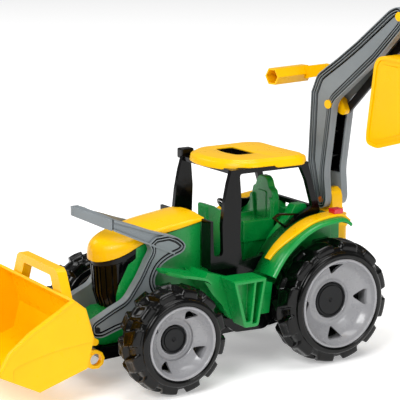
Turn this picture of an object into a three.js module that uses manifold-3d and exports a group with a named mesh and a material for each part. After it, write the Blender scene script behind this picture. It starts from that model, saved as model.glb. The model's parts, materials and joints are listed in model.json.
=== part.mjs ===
// Toy backhoe loader: a sit-beside play vehicle moulded in plastic, in millimetres.
// The front faces -Y, the left side +X, and +Z is up. Construction height Z = 0 is the ground,
// Y = 0 the rear axle and X = 0 the centre plane; the last lines move the origin under the middle.
import * as THREE from "three";
import { mergeVertices } from "three/addons/utils/BufferGeometryUtils.js";
import Module from "manifold-3d";

const wasm = await Module();
wasm.setup();

// ---------- driving dimensions ----------
const GAP = 0.3;
const REAR = { y: 0, r: 95, rim: 69, cap: 27, face: 142.4, width: 58 };
const FRONT = { y: -283.5, r: 79.6, rim: 54.6, cap: 20.6, face: 150.9, width: 58 };
const AXLE_R = 4;
const BODY_HALF = 62;
const CAB_HALF = 73;
const FENDER_HALF = 122;
const ROOF_Z = 304;
const ARM_IN = 48;
const ARM_OUT = 62;
const LOADER_PIVOT = [-273, 106];
const BUCKET_PIVOT = [-373, 91];
const BUCKET_HALF = 118;
const WALL = 4;
const SWING_Y = 82;
const SWING_ANGLE = THREE.MathUtils.degToRad(12);
const BRACKET_TOP = 202;
const BEAM_IN = 12.3;
const BEAM_OUT = 26.3;
const BOOM_PIVOT = [0, 225];
const ELBOW = [14, 379];
const TIP = [151, 524];
const CRANK = 16;
const DIG_PIVOT = [232, 452];
const DIG_HALF = 48;

// ---------- colours ----------
const finish = (color, roughness, metalness = 0) =>
  new THREE.MeshStandardMaterial({ color, roughness, metalness });
const YELLOW = finish(0xffc400, 0.35);
const GREEN = finish(0x00963c, 0.35);
const GREY = finish(0x8a9092, 0.45);
const RIM_GREY = finish(0x959597, 0.3);
const BLACK = finish(0x111214, 0.25);
const TYRE_BLACK = finish(0x0d0d0e, 0.3);
const CHARCOAL = finish(0x333436, 0.5);
const RED = finish(0xd0142a, 0.3);
const ORANGE = finish(0xf07818, 0.35);
const STEEL = finish(0x9a9ca0, 0.3, 1);

// ---------- solids ----------
function solid(geometry) {
  const bare = new THREE.BufferGeometry();
  bare.setAttribute("position", geometry.getAttribute("position"));
  if (geometry.index) bare.setIndex(geometry.index);
  const merged = mergeVertices(bare, 1e-4);
  const index = merged.index.array;
  const faces = [];
  for (let i = 0; i < index.length; i += 3) {
    const [a, b, c] = [index[i], index[i + 1], index[i + 2]];
    if (a !== b && b !== c && c !== a) faces.push(a, b, c);
  }
  const make = (list) =>
    new wasm.Manifold(
      new wasm.Mesh({
        numProp: 3,
        vertProperties: merged.attributes.position.array,
        triVerts: new Uint32Array(list),
      }),
    );
  const made = make(faces);
  return made.volume() < 0 ? make(faces.reverse()) : made;
}

function join(...solids) {
  return solids.reduce((all, one) => all.add(one));
}

function cut(body, ...tools) {
  return tools.reduce((left, tool) => left.subtract(tool), body);
}

function mesh(name, body, material) {
  const made = body.getMesh();
  const geometry = new THREE.BufferGeometry();
  geometry.setAttribute("position", new THREE.BufferAttribute(made.vertProperties, 3));
  geometry.setIndex(new THREE.BufferAttribute(made.triVerts, 1));
  const object = new THREE.Mesh(geometry, material);
  object.name = name;
  return object;
}

// Rounds the corners of an outline; a point is [a, b] or [a, b, corner radius].
function outline(points, steps = 2) {
  const out = [];
  points.forEach((point, i) => {
    const at = new THREE.Vector2(point[0], point[1]);
    if (!point[2]) {
      out.push(at);
      return;
    }
    const before = points[(i + points.length - 1) % points.length];
    const after = points[(i + 1) % points.length];
    const back = new THREE.Vector2(before[0], before[1]).sub(at);
    const ahead = new THREE.Vector2(after[0], after[1]).sub(at);
    const half = Math.acos(back.dot(ahead) / (back.length() * ahead.length())) / 2;
    const reach = Math.min(point[2] / Math.tan(half), 0.48 * back.length(), 0.48 * ahead.length());
    const start = at.clone().add(back.setLength(reach));
    const end = at.clone().add(ahead.setLength(reach));
    out.push(...new THREE.QuadraticBezierCurve(start, at, end).getPoints(steps));
  });
  return out;
}

// The outline of a bar with round ends of radius ra at a and rb at b.
function link(a, b, ra, rb = ra, steps = 5) {
  const along = Math.atan2(b[1] - a[1], b[0] - a[0]);
  const lean = Math.acos((ra - rb) / Math.hypot(b[0] - a[0], b[1] - a[1]));
  const out = [];
  for (let i = 0; i <= steps; i++) {
    const t = along + lean + ((2 * Math.PI - 2 * lean) * i) / steps;
    out.push(new THREE.Vector2(a[0] + ra * Math.cos(t), a[1] + ra * Math.sin(t)));
  }
  for (let i = 0; i <= steps; i++) {
    const t = along - lean + (2 * lean * i) / steps;
    out.push(new THREE.Vector2(b[0] + rb * Math.cos(t), b[1] + rb * Math.sin(t)));
  }
  return out;
}

// The line parallel to an open line, on its right-hand side at the given distance.
function parallel(points, distance) {
  const line = points.map((p) => new THREE.Vector2(p[0] ?? p.x, p[1] ?? p.y));
  return line.map((at, i) => {
    const into = at.clone().sub(line[Math.max(i - 1, 0)]);
    const away = line[Math.min(i + 1, line.length - 1)].clone().sub(at);
    const a = (i === 0 ? away : into).clone().normalize();
    const b = (i === line.length - 1 ? into : away).clone().normalize();
    const middle = a.clone().add(b).normalize();
    const reach = distance / middle.dot(a);
    return new THREE.Vector2(at.x + middle.y * reach, at.y - middle.x * reach);
  });
}

// A band between an open line and its parallel at the given thickness.
const band = (points, thickness) => [
  ...parallel(points, 0),
  ...parallel(points, thickness).reverse(),
];

function extrude(points, depth, basis, shift) {
  const flat = points[0].isVector2 ? points : outline(points);
  const geometry = new THREE.ExtrudeGeometry(new THREE.Shape(flat), {
    depth,
    bevelEnabled: false,
    steps: 1,
  });
  geometry.applyMatrix4(new THREE.Matrix4().makeBasis(...basis));
  geometry.translate(...shift);
  return solid(geometry);
}

const X = new THREE.Vector3(1, 0, 0);
const Y = new THREE.Vector3(0, 1, 0);
const Z = new THREE.Vector3(0, 0, 1);

// Plates whose outline is given in (y, z), (x, z) or (x, y).
const sidePlate = (points, x0, x1) => extrude(points, x1 - x0, [Y, Z, X], [x0, 0, 0]);
const frontPlate = (points, y0, y1) =>
  extrude(points, y1 - y0, [X, Z, Y.clone().negate()], [0, y1, 0]);
const topPlate = (points, z0, z1) => extrude(points, z1 - z0, [X, Y, Z], [0, 0, z0]);

function block(x0, x1, y0, y1, z0, z1) {
  const geometry = new THREE.BoxGeometry(x1 - x0, y1 - y0, z1 - z0);
  geometry.translate((x0 + x1) / 2, (y0 + y1) / 2, (z0 + z1) / 2);
  return solid(geometry);
}

function rod(radius, axis, from, to, a, b, sides = 16) {
  const geometry = new THREE.CylinderGeometry(radius, radius, to - from, sides);
  geometry.translate(0, (from + to) / 2, 0);
  if (axis === "x") {
    geometry.rotateZ(-Math.PI / 2);
    geometry.translate(0, a, b);
  } else if (axis === "y") geometry.translate(a, 0, b);
  else {
    geometry.rotateX(Math.PI / 2);
    geometry.translate(a, b, 0);
  }
  return solid(geometry);
}

// Turns a closed profile of [x, radius] points about the X axis.
function turned(profile, sides = 28) {
  const loop = [...profile, profile[0]].map(([x, r]) => new THREE.Vector2(r, x));
  const geometry = new THREE.LatheGeometry(loop, sides);
  geometry.applyMatrix4(new THREE.Matrix4().makeBasis(Y, X, Z.clone().negate()));
  return solid(geometry);
}

// Skins a row of loops, each with the same number of points, and closes both ends.
function loft(loops) {
  const count = loops[0].length;
  const vertices = loops.flat();
  const faces = [];
  for (let k = 0; k < loops.length - 1; k++) {
    for (let i = 0; i < count; i++) {
      const a = k * count + i;
      const b = k * count + ((i + 1) % count);
      faces.push(a, b, b + count, a, b + count, a + count);
    }
  }
  [0, loops.length - 1].forEach((k) => {
    const centre = new THREE.Vector3();
    loops[k].forEach((p) => centre.addScaledVector(p, 1 / count));
    vertices.push(centre);
    for (let i = 0; i < count; i++) {
      const a = k * count + i;
      const b = k * count + ((i + 1) % count);
      faces.push(...(k === 0 ? [b, a] : [a, b]), vertices.length - 1);
    }
  });
  const geometry = new THREE.BufferGeometry().setFromPoints(vertices);
  geometry.setIndex(faces);
  return solid(geometry);
}

const mirrored = (body) => body.mirror([1, 0, 0]);
const bothSides = (body) => join(body, mirrored(body));
const sideName = (name, side) => name + (side > 0 ? "_left" : "_right");

// ---------- nose shape shared by the hood, grille and lamp band ----------
const NOSE_START = -296;
const HOOD_HALF = 46;

// Plan of the nose at one level: straight sides, then half an ellipse round the front.
function nosePlan(front, half, back, z, steps = 10) {
  const points = [new THREE.Vector3(-half, back, z)];
  for (let i = 0; i <= steps; i++) {
    const t = (Math.PI * i) / steps;
    points.push(
      new THREE.Vector3(
        -half * Math.cos(t),
        NOSE_START - (NOSE_START - front) * Math.sin(t),
        z,
      ),
    );
  }
  points.push(new THREE.Vector3(half, back, z));
  return points;
}

// Underside of the hood along the car, as [y, z] from the nose to the cab.
const HOOD_EDGE = [
  [-362, 176],
  [-346, 178],
  [-322, 187],
  [-298, 200],
  [-262, 213],
  [-226, 219],
  [-188, 226],
  [-170, 229],
];

const underHood = (drop, x0 = -80, x1 = 80) =>
  sidePlate(
    [
      ...HOOD_EDGE.map(([y, z]) => [y, z - drop]),
      [-170, 40],
      [-380, 40],
      [-380, 176 - drop],
    ],
    x0,
    x1,
  );

// ---------- running gear ----------
function tyre(wheel, side) {
  const { r, rim, face, width } = wheel;
  const inner = face - 8 - width + 6;
  const tread = face - 8;
  const bore = rim + GAP + 0.5;
  const body = turned([
    [inner, bore],
    [inner, r - 20],
    [inner + 6, r - 7],
    [inner + 14, r - 4],
    [tread - 12, r - 4],
    [tread - 2, r - 9],
    [face - 3, bore + 6],
    [face - 0.5, bore],
  ]);
  const lugs = [];
  const count = 11;
  for (let i = 0; i < count; i++) {
    for (const half of [0, 1]) {
      const angle = ((i + half / 2) / count) * 2 * Math.PI;
      const middle = (inner + tread) / 2;
      const from = half ? middle - 4 : inner + 5;
      const to = half ? tread - 2 : middle + 4;
      const lug = block(from, to, -r * 0.085, r * 0.085, r - 8, r);
      lugs.push(lug.rotate([(angle * 180) / Math.PI, 0, 0]));
    }
  }
  return place(join(body, ...lugs), wheel, side);
}

const place = (body, wheel, side) =>
  (side > 0 ? body : mirrored(body)).translate([0, wheel.y, wheel.r]);

function rimDish(wheel, side, turn) {
  const { rim, cap, face, width } = wheel;
  const floor = face - 30;
  const back = face - width;
  const dish = turned([
    [back, AXLE_R + GAP],
    [back, 12],
    [floor - 6, 12],
    [floor - 6, cap + 6],
    [face - 12, rim - 4],
    [back + 2, rim - 4],
    [back + 2, rim],
    [face, rim],
    [face - 5, rim - 5],
    [floor, cap + 8],
    [floor, cap + 0.5],
    [floor - 2.5, cap + 0.5],
    [floor - 2.5, AXLE_R + GAP],
  ]);
  const hole = [];
  for (let i = 0; i < 4; i++) {
    const apex = 0.6 * rim;
    const base = 0.84 * rim;
    const wedge = sidePlate(
      [
        [apex, 0, 2],
        [base, 0.22 * rim, 2],
        [base, -0.22 * rim, 2],
      ],
      floor - 20,
      face + 1,
    );
    hole.push(wedge.rotate([turn + 90 * i, 0, 0]));
  }
  return place(cut(dish, ...hole), wheel, side);
}

function hubCap(wheel, side) {
  const { cap, face } = wheel;
  const floor = face - 30;
  const profile = [
    [floor - 2.2, 0],
    [floor - 2.2, cap],
    [floor + 2, cap],
    [floor + 3, cap - 2],
    [floor + 3, 0],
  ];
  return place(turned(profile, 20), wheel, side);
}

function axle(wheel) {
  const end = wheel.face - 33;
  return rod(AXLE_R, "x", -end, end, wheel.y, wheel.r);
}

// ---------- chassis and bodywork ----------
function chassis() {
  const tray = sidePlate(
    [
      [-366, 52, 4],
      [-356, 38, 6],
      [-120, 46],
      [-60, 46],
      [60, 62, 10],
      [62, 110],
      [-60, 110],
      [-110, 84],
      [-295, 84],
      [-295, 57.5],
      [-366, 57.5],
    ],
    -40,
    40,
  );
  const ballast = sidePlate(
    [
      [-190, 90],
      [-150, 58, 14],
      [-96, 56, 14],
      [-60, 90],
    ],
    -79,
    79,
  );
  return cut(
    join(tray, ballast),
    rod(AXLE_R + GAP, "x", -90, 90, REAR.y, REAR.r),
    rod(AXLE_R + GAP, "x", -90, 90, FRONT.y, FRONT.r),
  );
}

const NOSE_LEVELS = [
  [84, -328, 36],
  [108, -336, 40],
  [130, -343, 43],
  [240, -350, 45],
];

const noseSolid = (grow, back) =>
  loft(NOSE_LEVELS.map(([z, front, half]) => nosePlan(front - grow, half + grow, back, z)));

function engineSides() {
  const outer = noseSolid(0, -190);
  const front = block(-90, 90, -400, -299.7, 0, 300);
  return join(
    outer.subtract(front).intersect(underHood(GAP)),
    outer.intersect(front).intersect(underHood(8)),
  );
}

// The V of grille in the nose: wide under the hood and narrow at the chin.
function grilleZone(grow) {
  return frontPlate(
    [
      [-56 - grow, 260],
      [-46 - grow, 196],
      [-27 - grow, 108 - grow],
      [27 + grow, 108 - grow],
      [46 + grow, 196],
      [56 + grow, 260],
    ],
    -420,
    -299.5 + grow,
  );
}

function grille() {
  const zone = grilleZone(-GAP).intersect(underHood(8));
  const ribs = [];
  for (let x = -44; x <= 44; x += 8) ribs.push(block(x - 1.6, x + 1.6, -400, -300.5, 60, 260));
  const ribbed = noseSolid(1.2, -296).intersect(join(...ribs));
  return join(noseSolid(-0.6, -296), ribbed).intersect(zone);
}

// Dark strip that follows the underside of the hood round the nose.
function lampBand() {
  const ring = noseSolid(0.4, -290).subtract(noseSolid(-6, -280));
  const front = block(-90, 90, -400, -300, 0, 300);
  return ring.intersect(front).intersect(underHood(0.6)).subtract(underHood(7.7));
}

function hood() {
  const stations = [
    [-351.5, 3, 177.5, 196],
    [-348, 15, 178.6, 206],
    [-340, 27, 181.5, 212.5],
    [-328, 37, 186, 217.5],
    [-314, 43.5, 192.5, 220],
    [-296, HOOD_HALF, 201.6, 224],
    [-262, HOOD_HALF + 0.3, 214, 230.5],
    [-226, HOOD_HALF + 0.5, 220, 235],
    [-200, HOOD_HALF + 0.8, 225, 236.5],
    [-184, HOOD_HALF + 1, 228, 236.5],
  ];
  return loft(
    stations.map(([y, half, low, top]) => {
      const rise = top - low;
      const side = [
        [1, 0],
        [1, 0.3],
        [0.93, 0.55],
        [0.77, 0.78],
        [0.45, 0.94],
      ];
      const right = side.map(([w, h]) => new THREE.Vector3(-w * half, y, low + h * rise));
      const left = side.map(([w, h]) => new THREE.Vector3(w * half, y, low + h * rise));
      return [...right, new THREE.Vector3(0, y, top), ...left.reverse()];
    }),
  );
}

// Rear mudguard line over the wheel, as [y, z] from the sill to the tail.
const FENDER_LINE = [
  [-118, 138],
  [-100, 166],
  [-82, 186],
  [-56, 205],
  [-28, 217],
  [6, 222],
  [24, 220.5],
  [36, 212],
];

// Ledge that the door frame stands on, ahead of the mudguard.
const SILL_LINE = [
  [-214, 150],
  [-206, 160],
  [-190, 155],
  [-152, 142],
  [-118, 138],
];

// Front mudguard over the inner edge of the front wheel.
const WING_LINE = [
  [-278, 172],
  [-260, 169],
  [-238, 164],
  [-222, 159],
  [-214.5, 152],
];

function bodyShell() {
  const engine = engineSides();
  const chin = sidePlate(
    [
      [-362, 91, 6],
      [-336, 102],
      [-298, 102],
      [-298, 60],
      [-350, 58, 6],
      [-363, 64, 6],
    ],
    -32,
    32,
  );
  const lower = sidePlate(
    [
      ...SILL_LINE,
      [-92, 130],
      [-98, 84],
      [-168, 84, 8],
      [-182, 108],
      [-200, 128],
    ],
    -92,
    92,
  );
  const floor = block(-61, 61, -200, 52, 118, 138);
  const rearDeck = block(-57.6, 57.6, 30, 56, 120, 206);
  const dash = sidePlate(
    [
      [-156, 130],
      [-158, 242, 3],
      [-146, 239, 3],
      [-138, 232],
      [-126, 229.4],
      [-113, 215],
      [-126, 130],
    ],
    -15,
    15,
  );
  const outer = join(
    engine,
    lower,
    floor,
    rearDeck,
    dash,
    chin,
  );
  const engineBay = sidePlate(
    [
      [-296, 84],
      [-296, 180],
      [-200, 206],
      [-200, 84],
    ],
    -40,
    40,
  );
  return cut(
    outer,
    engineBay,
    grilleZone(0),
    block(-80, 80, -191, -59, 40, 92),
    block(-47, 47, -297, 70, 30, 112),
    rod(6.5, "x", -130, 130, ...LOADER_PIVOT),
    rod(AXLE_R + 1, "x", -130, 130, FRONT.y, FRONT.r),
    rod(AXLE_R + 1, "x", -130, 130, REAR.y, REAR.r),
  );
}

function frontMudguard(side) {
  const wing = sidePlate(band(WING_LINE, 4), HOOD_HALF, 114);
  const armSlot = block(0, ARM_OUT + 2, -320, -222, 100, 220);
  const guard = wing.subtract(armSlot);
  return side > 0 ? guard : mirrored(guard);
}

// Rear mudguard with its inner wall and the hump beside the seat.
function mudguard(side) {
  const arch = sidePlate(band(FENDER_LINE, 5), 58, FENDER_HALF);
  const inner = sidePlate([...FENDER_LINE, [38, 139], [-112, 139]], 58, 63);
  const hump = sidePlate(
    [
      [-92, 139],
      [-66, 190],
      [-36, 222, 4],
      [-28, 236, 4],
      [-8, 236, 3],
      [-3.5, 222],
      [20, 207],
      [29, 207],
      [29, 139],
    ],
    40,
    59,
  );
  const guard = join(arch, inner, hump).subtract(block(0, 130, -140, -91.7, 60, 146));
  return side > 0 ? guard : mirrored(guard);
}

function stepBox(side) {
  const face = frontPlate(
    [
      [92 + GAP, 152],
      [131, 152, 3],
      [122, 76, 3],
      [92 + GAP, 76],
    ],
    -190,
    -118,
  );
  const outlineY = sidePlate(
    [
      [-186, 153],
      [-129, 151],
      [-137, 76, 5],
      [-162, 77, 5],
    ],
    90,
    134,
  );
  const shell = face.intersect(outlineY);
  const windows = [
    [[-179, 146], [-150, 146], [-152, 86], [-159, 86]],
    [[-146, 146], [-134, 146], [-140.5, 82], [-148, 82]],
  ].map((points) => sidePlate(points, 112, 140));
  const box = cut(shell, ...windows);
  return side > 0 ? box : mirrored(box);
}

function fenderTrim(side) {
  const seatLine = parallel(FENDER_LINE.slice(1), -GAP);
  const trim = sidePlate(band(seatLine, -3.5), 84, 112);
  return side > 0 ? trim : mirrored(trim);
}

function tailLight(side) {
  const lamp = block(92, 108, 10, 26, 225.6, 233);
  return side > 0 ? lamp : mirrored(lamp);
}

// ---------- cab ----------
function cabFrame() {
  const doorOutline = [
    [-190, 231],
    ...parallel([...SILL_LINE.slice(2), ...FENDER_LINE.slice(1, 6)], -GAP - 0.1).map((p) => [p.x, p.y]),
    [8, 226],
    [-4, 262],
    [-16, 303.5],
    [-154, 303.5],
    [-160, 283],
    [-166, 254],
    [-169.5, 224],
    [-168, 176, 6],
    [-184, 178, 4],
    [-186, 231],
  ];
  const doorway = [
    [-134, 163, 4],
    [-99, 169, 6],
    [-57, 204],
    [-34, 222],
    [-6, 233, 6],
    [-19, 276],
    [-29, 297, 4],
    [-139, 297, 4],
    [-136, 258],
    [-138, 200],
  ];
  const side = cut(
    sidePlate(doorOutline, BODY_HALF + 3, CAB_HALF),
    sidePlate(doorway, 50, 90),
  );
  const roofRing = cut(
    block(-CAB_HALF + 1, CAB_HALF - 1, -152, -14, 297, ROOF_Z - GAP),
    block(-60, 60, -140, -26, 280, 320),
  );
  const frontWall = block(HOOD_HALF + 1.5, CAB_HALF, -190, -185.5, 158, 231);
  const rearBar = block(-70, 70, -2, 5, 226, 233);
  return join(bothSides(join(side, frontWall)), roofRing, rearBar);
}

function roof() {
  const plan = [
    [-77, -120, 14],
    [-54, -153, 22],
    [0, -167, 40],
    [54, -153, 22],
    [77, -120, 14],
    [78, -28, 8],
    [62, -9, 8],
    [-62, -9, 8],
    [-78, -28, 8],
  ];
  const inset = plan.map(([x, y, r]) => [x * 0.86, -85 + (y + 85) * 0.88, r]);
  const slab = join(topPlate(plan, ROOF_Z, ROOF_Z + 9), topPlate(inset, ROOF_Z + 8, ROOF_Z + 14));
  return slab.subtract(block(-32, 32, -120, -85, 290, 330));
}

function sideMirror() {
  return block(-90, -73.5, -150, -128, 298, 314);
}

function seat() {
  const back = frontPlate(
    [
      [-30, 178],
      [-30, 254, 6],
      [-20, 268, 4],
      [-12, 274, 4],
      [12, 274, 4],
      [20, 268, 4],
      [30, 254, 6],
      [30, 178],
    ],
    -52,
    -38,
  );
  const cushion = block(-30, 30, -104, -39, 180, 209);
  const base = block(-25, 25, -100, -42, 138.4, 181);
  return join(back, cushion, base);
}

const STEERING = { y: -114, z: 231, tilt: 48 };

function steeringColumn() {
  return rod(4, "z", -10 + GAP, -4.5, 0, 0, 12)
    .rotate([-STEERING.tilt, 0, 0])
    .translate([0, STEERING.y, STEERING.z]);
}

function steeringWheel() {
  const ring = turned(
    [
      [-2, 16.5],
      [-2, 20],
      [2, 20],
      [2, 16.5],
    ],
    12,
  ).rotate([0, -90, 0]);
  const hub = rod(5, "z", -3.5, 2, 0, 0, 12);
  const spokes = [90, 210, 330].map((angle) =>
    block(3, 17.5, -1.8, 1.8, -1.5, 1.5).rotate([0, 0, angle]),
  );
  return join(ring, hub, ...spokes)
    .rotate([-STEERING.tilt, 0, 0])
    .translate([0, STEERING.y, STEERING.z]);
}

// ---------- front loader ----------
const ARM_OUTLINE = [
  [-252, 217],
  [-238, 211, 4],
  [-225, 200, 6],
  [-229, 189, 6],
  [-256, 181, 10],
  [-272, 170, 10],
  [-281, 149, 8],
  [-264, 122, 10],
  [-259, 98, 12],
  [-280, 90, 10],
  [-333, 89, 10],
  [-366, 79, 6],
  [-383, 82, 8],
  [-385, 102, 8],
  [-350, 119],
  [-326, 129, 6],
  [-304, 159],
  [-291, 183],
  [-282, 197, 5],
  [-288, 207],
  [-276, 216],
];

// Upright slab section of the handle bars at x, y, from z0 to z1; lean turns it in plan.
function barSection(x, y, z0, z1, lean, half = 6.5) {
  const across = new THREE.Vector2(lean, -Math.sqrt(1 - lean * lean)).multiplyScalar(half);
  return [
    new THREE.Vector3(x + across.x, y + across.y, z0),
    new THREE.Vector3(x - across.x, y - across.y, z0),
    new THREE.Vector3(x - across.x, y - across.y, z1),
    new THREE.Vector3(x + across.x, y + across.y, z1),
  ];
}

function loaderArm(side) {
  const plate = sidePlate(ARM_OUTLINE, ARM_IN, ARM_OUT);
  const bar = loft([
    barSection(55, -244, 186, 214, 0.99),
    barSection(55, -281, 203, 226, 0.98),
    barSection(53.5, -305, 215, 235, 0.93),
    barSection(42, -336, 230, 246, 0.85),
  ]);
  const pocket = sidePlate(
    [
      [-278, 201],
      [-240, 201, 4],
      [-234, 195, 3],
      [-272, 184, 6],
      [-290, 152],
      [-318, 115, 6],
      [-368, 94],
      [-364, 99],
      [-322, 120, 6],
      [-298, 159],
    ],
    ARM_OUT - 5,
    ARM_OUT + 5,
  );
  const arm = cut(
    join(plate, bar),
    pocket,
    rod(6.4, "x", 40, 70, ...LOADER_PIVOT),
    rod(5.4, "x", 40, 70, ...BUCKET_PIVOT),
  );
  return side > 0 ? arm : mirrored(arm);
}

function loaderHandle() {
  const half = loft([
    barSection(41.7, -336.5, 230.2, 246.1, 0.85),
    barSection(36, -347, 235, 251, 0.6),
    barSection(0, -375, 249, 263, 0, 6),
  ]);
  const tip = block(-3, 3, -381, -369, 249, 263);
  return join(bothSides(half), tip);
}

function loaderPivotBar() {
  const end = ARM_OUT + 2;
  return rod(6, "x", -end, end, ...LOADER_PIVOT);
}

const BUCKET_WALL = [
  [-440, 160],
  [-421, 144],
  [-409, 101],
  [-421, 58],
  [-494, 36],
  [-561, 71],
];

function frontBucket() {
  const inner = BUCKET_HALF - WALL;
  const shell = sidePlate(band(BUCKET_WALL, WALL), -inner, inner);
  const cheek = sidePlate(
    [...BUCKET_WALL, [-549, 79, 3], [-537, 98, 6], [-507, 121], [-462, 146, 6]],
    inner - 0.5,
    BUCKET_HALF,
  );
  const ring = cut(
    join(
      sidePlate(link([-416, 62], [-384, 53], 10, 14), 66, 75),
      sidePlate(link([-412, 86], [-384, 79], 7, 5), 68, 75),
    ),
    rod(9, "x", 60, 100, -384, 53),
    sidePlate([...BUCKET_WALL, [-440, 110]], 60, 100),
  );
  const ear = cut(
    sidePlate(link([-408, 99], BUCKET_PIVOT, 14, 9), ARM_IN - 13, ARM_IN - 0.5),
    sidePlate([[-500, 60], [-424, 58], [-412, 101], [-424, 144], [-500, 144]], 30, 90),
  );
  const rail = [
    [-84, 146],
    [-65, 186, 6],
    [-58, 190.5, 4],
    [58, 190.5, 4],
    [65, 186, 6],
    [84, 146],
    [57, 146],
    [42, 178, 4],
    [-42, 178, 4],
    [-57, 146],
  ];
  const handle = cut(
    frontPlate(rail, -438, -423.5),
    sidePlate([[-500, 60], [-424, 58], [-412, 101], [-424, 146], [-444, 163], [-500, 170]], -95, 95),
  );
  return cut(
    join(shell, bothSides(join(cheek, ring, ear)), handle),
    rod(5.4, "x", -100, 100, ...BUCKET_PIVOT),
  );
}

function bucketPin(side) {
  const pin = rod(5, "x", ARM_IN - 13.5, ARM_OUT - 2, ...BUCKET_PIVOT);
  return side > 0 ? pin : mirrored(pin);
}

// ---------- backhoe, built in the plane of the boom: x out along the boom, y across ----------
function rearBracket() {
  const outerPlan = [
    [-32, 56.5],
    [32, 56.5],
    [32, 88, 8],
    [20, 100, 8],
    [-20, 100, 8],
    [-32, 88, 8],
  ];
  const column = topPlate(outerPlan, 152, BRACKET_TOP);
  const shelf = topPlate(
    outerPlan.map(([x, y, r]) => [x * 1.06, y === 56.5 ? y : y + 1.5, r]),
    184,
    192,
  );
  return cut(join(column, shelf), rod(8 + GAP, "z", 140, 210, 0, SWING_Y));
}

function swingPin() {
  return join(
    rod(8, "z", 150, BRACKET_TOP + 0.5, 0, 0),
    rod(12, "z", 146, 151.5, 0, 0),
  );
}

function swingPost() {
  const [u, z] = BOOM_PIVOT;
  const foot = rod(20, "z", BRACKET_TOP + 0.8, 209, 0, 0, 28);
  const tongue = frontPlate(link([0, 210], [u, 229], 15, 14), -11.8, 11.8);
  return cut(
    join(foot, tongue.subtract(block(-30, 30, -30, 30, 180, BRACKET_TOP + 0.8))),
    rod(5.4, "y", -20, 20, u, z),
  );
}

const BOOM_OUTLINE = [
  [13, 225, 6],
  [9, 270, 10],
  [24, 383, 8],
  [109, 456],
  [164, 514, 12],
  [152, 540, 14],
  [134, 534, 8],
  [70, 481],
  [34, 454],
  [-9, 424, 6],
  [-21, 396],
  [-23, 343],
  [-26, 286],
  [-13, 225, 6],
  [-8, 212, 8],
  [8, 212, 8],
];

const PIVOT_HOLES = [
  [BOOM_PIVOT, 5.4],
  [ELBOW, 7.4],
  [TIP, 7.4],
];

function boomBeam(sign) {
  const place = sign < 0 ? [-BEAM_OUT, -BEAM_IN] : [BEAM_IN, BEAM_OUT];
  const guard = frontPlate(link([-14, 398], [-28, 396], 13, 12), ...place);
  const beam = join(frontPlate(BOOM_OUTLINE, ...place), guard);
  const outside = sign < 0 ? [-BEAM_OUT - 5, -BEAM_OUT + 4] : [BEAM_OUT - 4, BEAM_OUT + 5];
  const pockets = [
    [
      [0, 262],
      [8, 372, 4],
      [-2, 386, 4],
      [-13, 372],
      [-16, 286],
    ],
    [
      [6, 400, 5],
      [28, 402],
      [104, 467],
      [132, 504, 5],
      [124, 512, 4],
      [76, 472],
      [10, 424, 6],
    ],
  ].map((points) => frontPlate(points, ...outside));
  const holes = PIVOT_HOLES.map(([[u, z], r]) => rod(r, "y", -40, 40, u, z));
  return cut(beam, ...pockets, ...holes);
}

function boomSpine(lower) {
  const half = BEAM_IN - GAP;
  if (!lower) {
    const skin = [
      [6, 430],
      [36, 449],
      [72, 476],
      [126, 522],
      [122, 527],
      [68, 481],
      [32, 455],
      [4, 436],
    ];
    return frontPlate(skin, -half, half);
  }
  const skin = frontPlate(
    [
      [-24, 262],
      [-25, 286],
      [-22, 343],
      [-20, 372],
      [-14, 372],
      [-17, 343],
      [-20, 286],
      [-19, 262],
    ],
    -half,
    half,
  );
  const ribs = [292, 330].map((z) => block(-20, 4, -half, half, z, z + 2.5));
  return join(skin, ...ribs);
}

const crankOf = ([u, z]) => {
  const along = new THREE.Vector2(TIP[0] - ELBOW[0], TIP[1] - ELBOW[1]).normalize();
  return [u + along.y * CRANK, z - along.x * CRANK];
};

const crankStub = (at) => rod(3, "y", 4, 10.6, ...crankOf(at), 12);

function lever() {
  const hub = frontPlate(link(ELBOW, crankOf(ELBOW), 12, 6.5), -5, 5);
  const neck = frontPlate(link(ELBOW, [-15, 429], 9, 9), -5, 5);
  const reach = frontPlate(link([-15, 429], [-65, 419], 9, 10), -5, 5);
  const grip = new THREE.CylinderGeometry(14.5, 14.5, 76, 6);
  grip.rotateY(Math.PI / 6);
  grip.translate(-65, -32, 419);
  const bore = new THREE.CylinderGeometry(11.6, 11.6, 40, 6);
  bore.rotateY(Math.PI / 6);
  bore.translate(-65, -62, 419);
  return cut(
    join(hub, neck, reach, solid(grip), crankStub(ELBOW)),
    solid(bore),
    rod(7.4, "y", -20, 20, ...ELBOW),
  );
}

function pushRod() {
  const a = crankOf(ELBOW);
  const b = crankOf(TIP);
  return cut(
    frontPlate(link(a, b, 6, 6), 5.5, 10.5),
    rod(3.5, "y", 0, 20, ...a, 12),
    rod(3.5, "y", 0, 20, ...b, 12),
  );
}

function pinY(radius, half, [u, z]) {
  return rod(radius, "y", -half, half, u, z);
}

function dipper() {
  const hub = frontPlate(link(TIP, crankOf(TIP), 12, 6.5), -5, 5);
  const stick = frontPlate(link(TIP, DIG_PIVOT, 10, 9), -5, 5);
  const boss = rod(11, "y", -11, 11, ...DIG_PIVOT);
  return cut(
    join(hub, stick, boss, crankStub(TIP)),
    rod(7.4, "y", -20, 20, ...TIP),
    rod(5.4, "y", -20, 20, ...DIG_PIVOT),
  );
}

const DIG_WALL = [
  [144, 467],
  [180, 464],
  [206, 448],
  [222, 412],
  [214, 374],
  [180, 341],
  [134, 328],
];

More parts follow.
